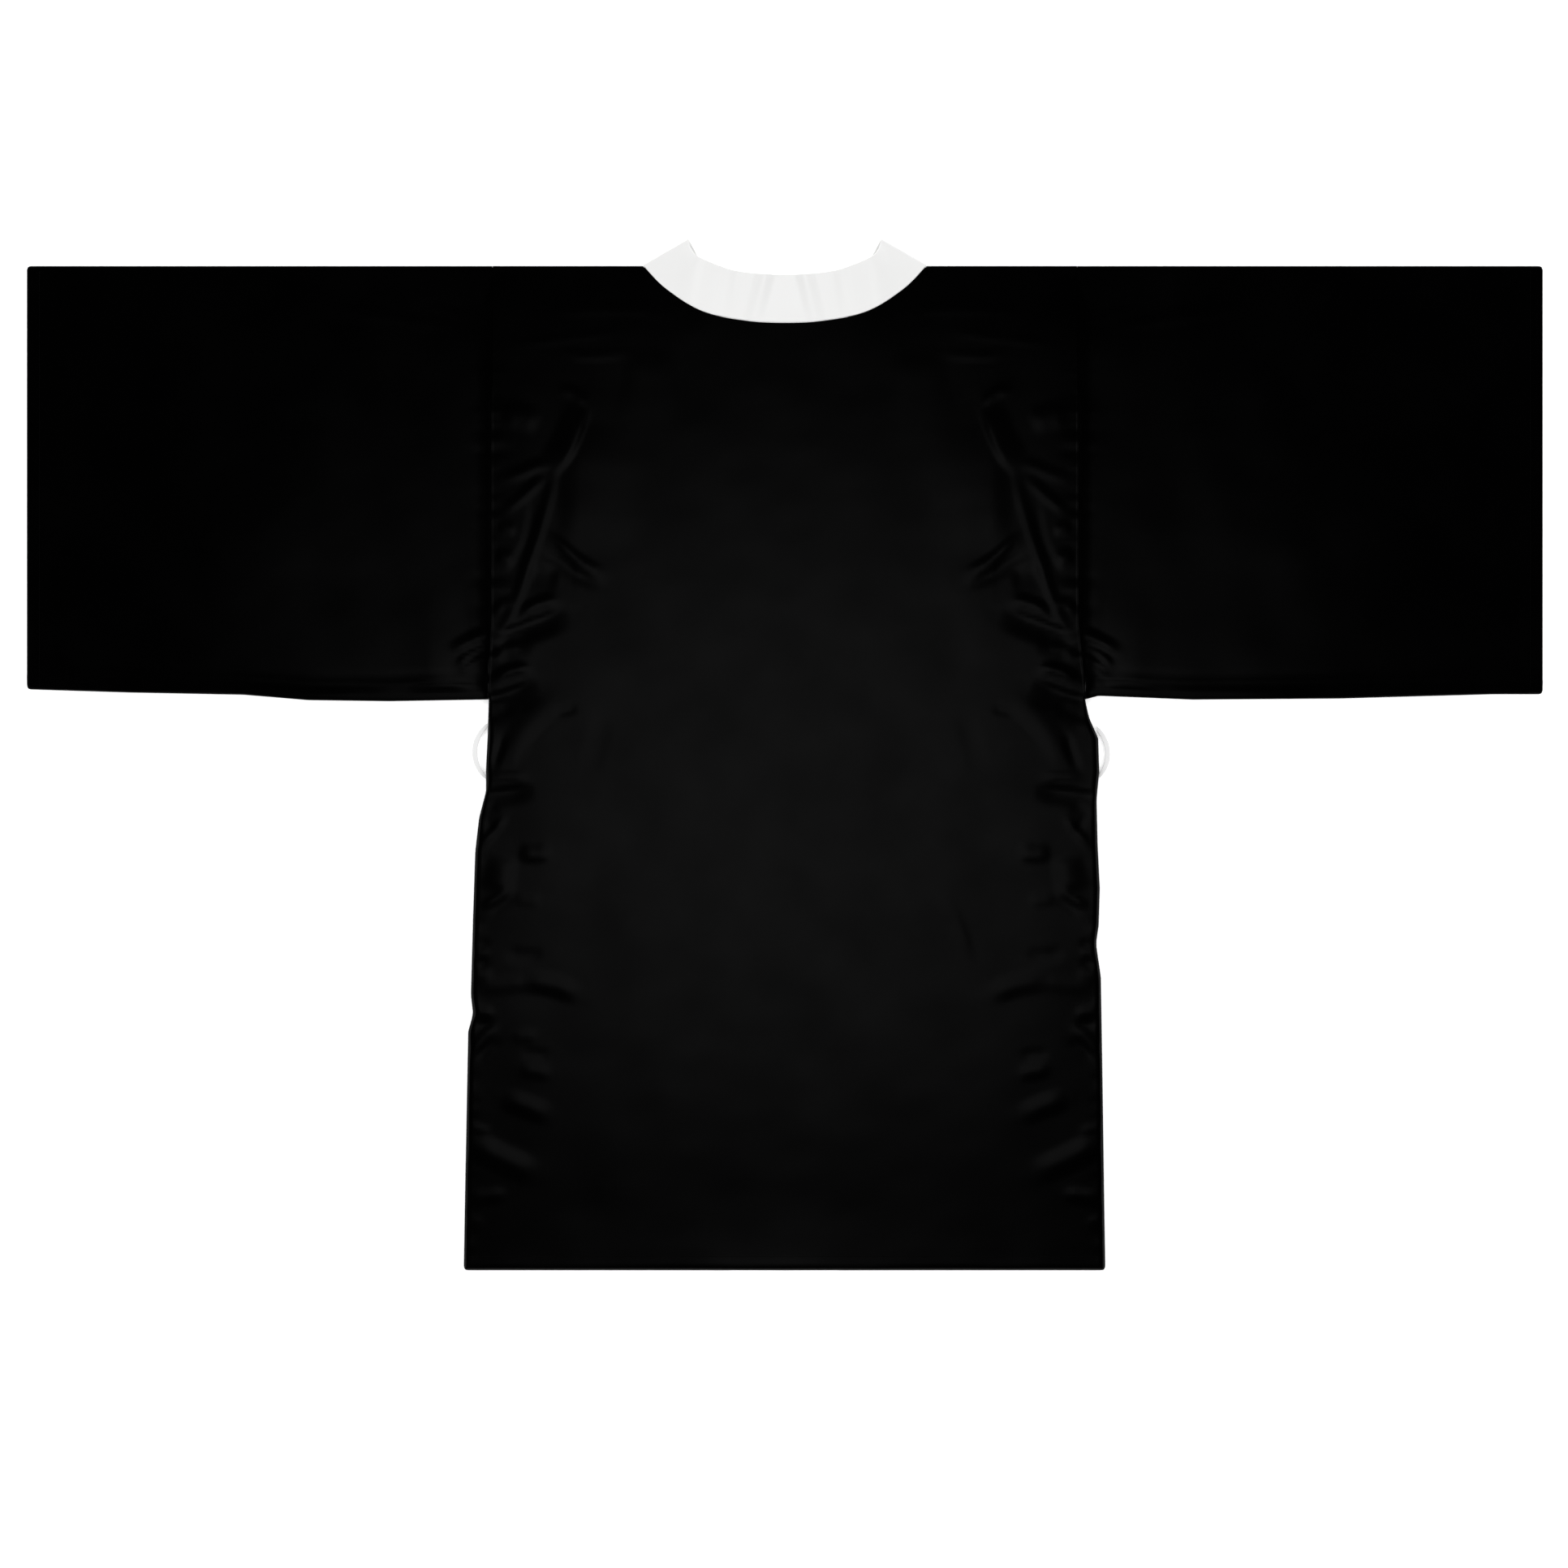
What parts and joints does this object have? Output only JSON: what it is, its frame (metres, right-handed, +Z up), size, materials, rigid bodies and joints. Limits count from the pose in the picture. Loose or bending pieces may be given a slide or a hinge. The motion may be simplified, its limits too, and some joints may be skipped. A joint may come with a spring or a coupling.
{
  "type": "kimono robe",
  "caption": "Short satin kimono robe laid out flat on its front, with wide straight sleeves, a contrasting collar band and narrow belt loops.",
  "frame": {"origin": "on the surface that the robe rests on, below the middle of its outline", "axes": "+X from cuff to cuff towards the wearer's right, +Y from the hem to the collar, +Z up out of the back"},
  "size_m": [1.4, 0.9529, 0.011],
  "materials": {
    "body_satin": "black satin with a soft sheen",
    "band_satin": "white satin with a soft sheen",
    "loop_tape": "white narrow satin tape"
  },
  "bodies": {
    "root": {"back_panel": "body_satin", "front_left": "body_satin", "front_right": "body_satin", "sleeve_left": "body_satin", "sleeve_right": "body_satin", "collar_band": "band_satin", "belt_loop_left": "loop_tape", "belt_loop_right": "loop_tape"}
  },
  "joints": []
}
